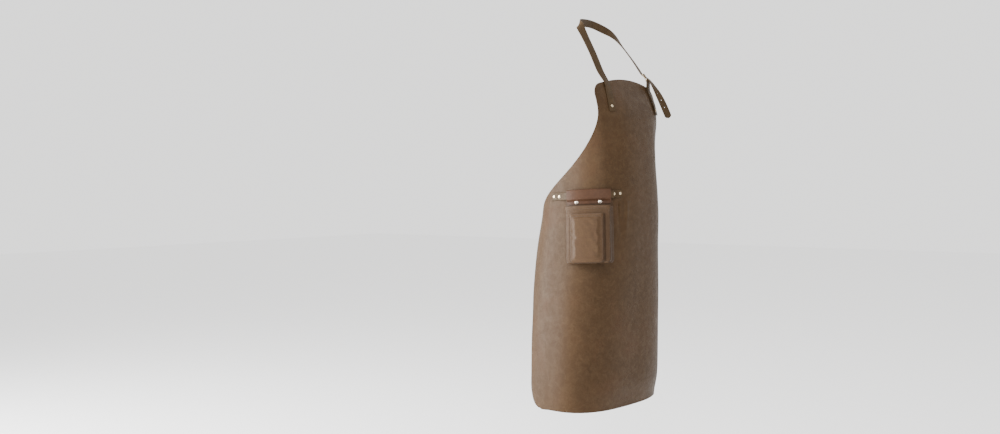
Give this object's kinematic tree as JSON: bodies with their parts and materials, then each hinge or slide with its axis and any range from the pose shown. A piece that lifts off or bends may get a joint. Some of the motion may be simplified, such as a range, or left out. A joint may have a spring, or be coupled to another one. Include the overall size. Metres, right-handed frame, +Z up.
{
  "type": "leather bib apron",
  "caption": "Full-length leather bib apron in its worn shape, hung by its buckled neck loop, with a removable tool pocket on a side hanger strap.",
  "frame": {"origin": "hang point: underside of the nape band at its middle, where a hook bears", "axes": "+Z up, -Y out of the apron's front, +X towards the wearer's left"},
  "size_m": [0.5026, 0.2924, 1.204],
  "materials": {
    "panel_leather": "satin",
    "strap_leather": "satin",
    "fold_leather": "satin",
    "pocket_leather": "satin",
    "buckle_metal": "satin",
    "rivet_metal": "satin",
    "snap_metal": "satin"
  },
  "bodies": {
    "apron": {"apron_panel": "panel_leather", "neck_strap": "strap_leather", "buckle_strap": "strap_leather", "strap_rivets": "rivet_metal", "strap_rivet_backs": "rivet_metal", "hanger_strap": "strap_leather", "hanger_rivets": "rivet_metal", "hanger_rivet_backs": "rivet_metal"},
    "buckle": {"buckle_frame": "buckle_metal"},
    "prong": {"buckle_prong": "buckle_metal"},
    "pocket_hanger": {"pocket_top_fold": "fold_leather", "snap_studs": "snap_metal", "snap_posts": "snap_metal"},
    "flap": {"pocket_flap": "fold_leather", "snap_caps": "snap_metal", "snap_sockets": "snap_metal"},
    "pocket": {"pocket_back": "pocket_leather", "main_pocket_gusset": "pocket_leather", "main_pocket_front": "pocket_leather", "small_pocket_gusset": "pocket_leather", "small_pocket_front": "pocket_leather"}
  },
  "joints": [
    {"name": "buckle_tilt", "type": "hinge", "parent": "apron", "child": "buckle", "pos_m": [0.12841, -0.13668, -0.16328], "axis": [0.9607, 0.2733, 0.0476], "range_deg": [0, 4]},
    {"name": "prong_lift", "type": "hinge", "parent": "buckle", "child": "prong", "pos_m": [0.12841, -0.13668, -0.16328], "axis": [0.9607, 0.2733, 0.0476], "range_deg": [0, 6]},
    {"name": "pocket_slide", "type": "hinge", "parent": "apron", "child": "pocket_hanger", "pos_m": [-0.02113, -0.05269, -0.54687], "axis": [0.1044, 0.0844, 0.9909], "range_deg": [-1.2, 1.2]},
    {"name": "flap_lift", "type": "hinge", "parent": "pocket_hanger", "child": "flap", "pos_m": [-0.19283, -0.11502, -0.51995], "axis": [-0.3469, 0.9369, -0.0433], "range_deg": [0, 120]},
    {"name": "pocket_swing", "type": "hinge", "parent": "pocket_hanger", "child": "pocket", "pos_m": [-0.18349, -0.11311, -0.55339], "axis": [-0.3469, 0.9369, -0.0433], "range_deg": [0, 10]}
  ]
}
